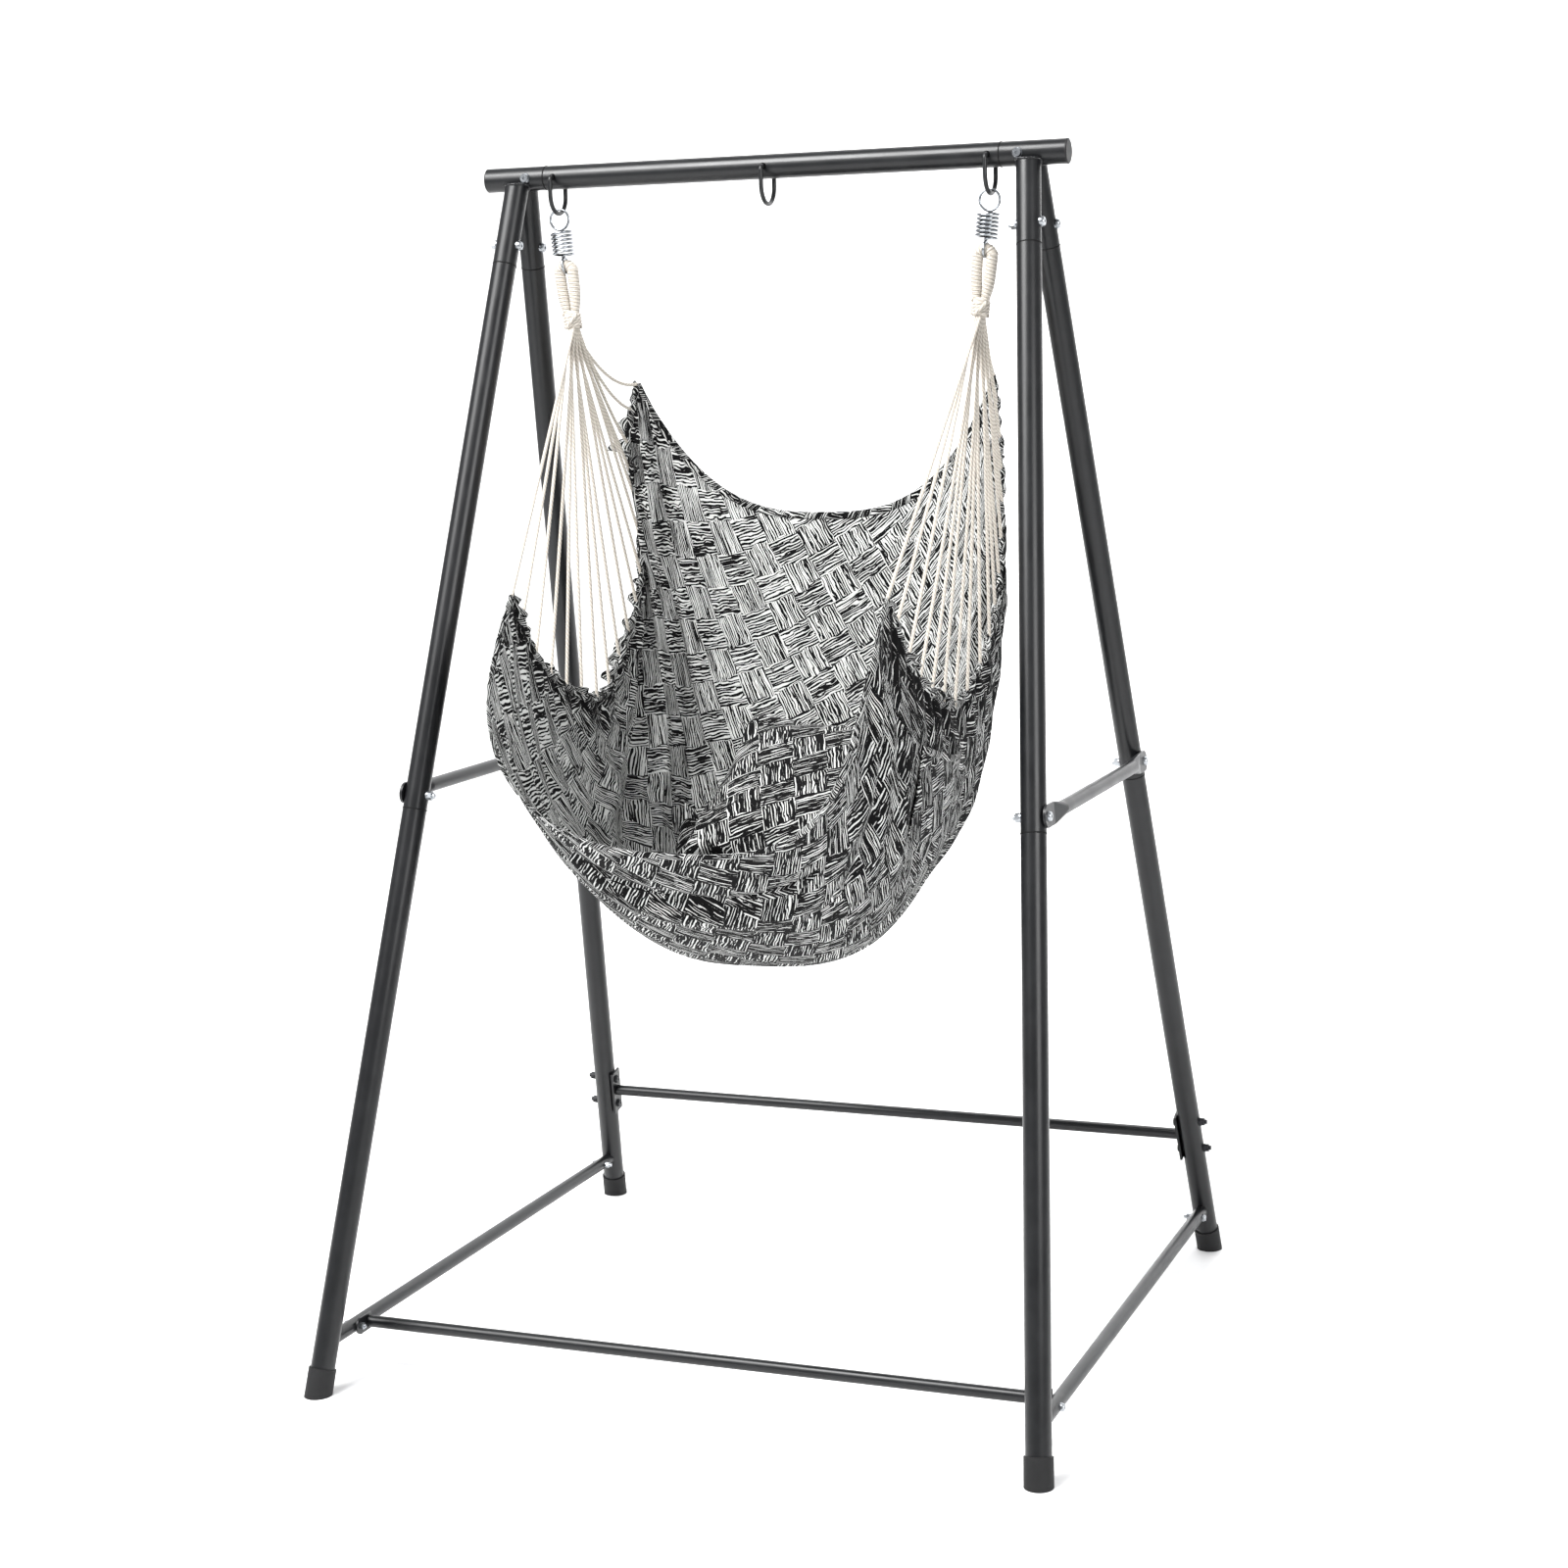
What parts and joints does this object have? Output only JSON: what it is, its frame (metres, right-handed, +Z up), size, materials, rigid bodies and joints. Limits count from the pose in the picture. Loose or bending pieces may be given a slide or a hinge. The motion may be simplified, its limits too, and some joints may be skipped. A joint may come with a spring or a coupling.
{
  "type": "hammock chair on stand",
  "caption": "Hanging hammock chair of woven cloth, gathered on fans of cotton cord, that swings on springs under the beam of a bolted A-frame stand of black steel tube.",
  "frame": {"origin": "on the floor, under the middle of the stand", "axes": "+X to the right hand side of a viewer who faces the seat, +Y to the back, +Z up; the seat opens to -Y"},
  "size_m": [1.1942, 1.1508, 1.881],
  "materials": {
    "black_powder_coat": "satin powder coat",
    "satin_black_bars": "satin powder coat, a shade lighter",
    "black_rod": "satin powder coat",
    "black_plastic": "matt moulded plastic",
    "black_rubber": "matt rubber",
    "zinc_fasteners": "bright zinc plate",
    "zinc_spring_wire": "bright zinc plate, drawn wire",
    "cotton_cord": "undyed twisted cotton",
    "woven_seat_fabric": "black and white woven cotton with a parquet of strokes",
    "woven_pocket_fabric": "black and white woven cotton",
    "cushion_fabric": "black and white woven cotton",
    "pillow_fabric": "black and white woven cotton"
  },
  "bodies": {
    "stand": {"beam": "black_powder_coat", "left_connector": "black_powder_coat", "right_connector": "black_powder_coat", "left_beam_plug": "black_plastic", "right_beam_plug": "black_plastic", "front_left_upper_leg": "black_powder_coat", "front_right_upper_leg": "black_powder_coat", "back_left_upper_leg": "black_powder_coat", "back_right_upper_leg": "black_powder_coat", "front_left_lower_leg": "black_powder_coat", "front_right_lower_leg": "black_powder_coat", "back_left_lower_leg": "black_powder_coat", "back_right_lower_leg": "black_powder_coat", "front_left_foot_cap": "black_rubber", "front_right_foot_cap": "black_rubber", "back_left_foot_cap": "black_rubber", "back_right_foot_cap": "black_rubber", "left_mid_brace": "satin_black_bars", "right_mid_brace": "satin_black_bars", "left_base_bar": "satin_black_bars", "right_base_bar": "satin_black_bars", "front_base_bar": "black_powder_coat", "back_base_bar": "black_powder_coat", "beam_bolts": "zinc_fasteners", "beam_nuts": "zinc_fasteners", "stub_bolts": "zinc_fasteners", "stub_nuts": "zinc_fasteners", "brace_bolts": "zinc_fasteners", "brace_nuts": "zinc_fasteners", "base_bolts": "zinc_fasteners", "base_nuts": "zinc_fasteners", "bracket_bolts": "zinc_fasteners", "bracket_nuts": "zinc_fasteners"},
    "left_bail": {"left_bail": "black_rod"},
    "centre_bail": {"centre_bail": "black_rod"},
    "right_bail": {"right_bail": "black_rod"},
    "spring_tops": {"left_spring_top_ring": "zinc_spring_wire", "right_spring_top_ring": "zinc_spring_wire", "left_spring_coils": "zinc_spring_wire", "right_spring_coils": "zinc_spring_wire"},
    "hammock": {"left_spring_bottom_ring": "zinc_spring_wire", "right_spring_bottom_ring": "zinc_spring_wire", "left_rope_eye": "cotton_cord", "right_rope_eye": "cotton_cord", "left_collar": "cotton_cord", "right_collar": "cotton_cord", "left_cords": "cotton_cord", "right_cords": "cotton_cord", "seat_fabric": "woven_seat_fabric", "side_pocket": "woven_pocket_fabric", "seat_cushion": "cushion_fabric"},
    "loose_pillow": {"loose_pillow": "pillow_fabric"}
  },
  "joints": [
    {"name": "swing", "type": "hinge", "parent": "stand", "child": "spring_tops", "pos_m": [0, 0, 1.809], "axis": [1, 0, 0], "range_deg": [-30, 30]},
    {"name": "bounce", "type": "slide", "parent": "spring_tops", "child": "hammock", "axis": [0, 0, -1], "range_m": [0, 0.04], "stiffness_N_per_m": 16000, "springref_m": -0.003, "deforming": ["left_spring_coils", "right_spring_coils"]},
    {"name": "centre_bail_swing", "type": "hinge", "parent": "stand", "child": "centre_bail", "pos_m": [0, 0, 1.862], "axis": [0, 1, 0], "range_deg": [-62, 62]},
    {"name": "left_bail_play", "type": "hinge", "parent": "stand", "child": "left_bail", "pos_m": [-0.361, 0, 1.862], "axis": [0, 1, 0], "range_deg": [-2, 2]},
    {"name": "right_bail_play", "type": "hinge", "parent": "stand", "child": "right_bail", "pos_m": [0.361, 0, 1.862], "axis": [0, 1, 0], "range_deg": [-2, 2]},
    {"name": "pillow_lift", "type": "slide", "parent": "hammock", "child": "loose_pillow", "axis": [0, -0.5, 0.866], "range_m": [0, 0.3]}
  ]
}
